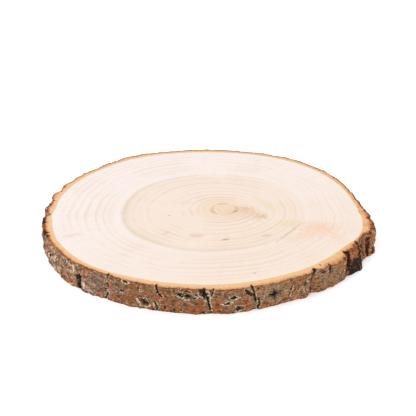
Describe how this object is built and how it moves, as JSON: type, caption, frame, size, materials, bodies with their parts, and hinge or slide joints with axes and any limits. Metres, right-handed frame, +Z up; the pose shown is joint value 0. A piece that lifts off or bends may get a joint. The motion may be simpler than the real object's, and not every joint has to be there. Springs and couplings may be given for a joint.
{
  "type": "wood slice",
  "caption": "Round slice sawn across a poplar log, bark left on, with flat sawn faces to stand things on.",
  "frame": {"origin": "under the middle of the slice's box, on the sawn underside it lies on", "axes": "+Z up through the thickness, from the underside to the top sawn face; +X along the longest side"},
  "size_m": [0.332, 0.3304, 0.026],
  "materials": {
    "wood": "pale cream sapwood and faintly tan heart, finely sawn and sanded, unsealed matt",
    "bark": "rough grey-brown poplar bark with reddish patches, dark lens-shaped pores and upright cracks; orange-tan inner bark on the sawn faces"
  },
  "bodies": {
    "root": {"wood_slice": "wood"}
  },
  "joints": []
}
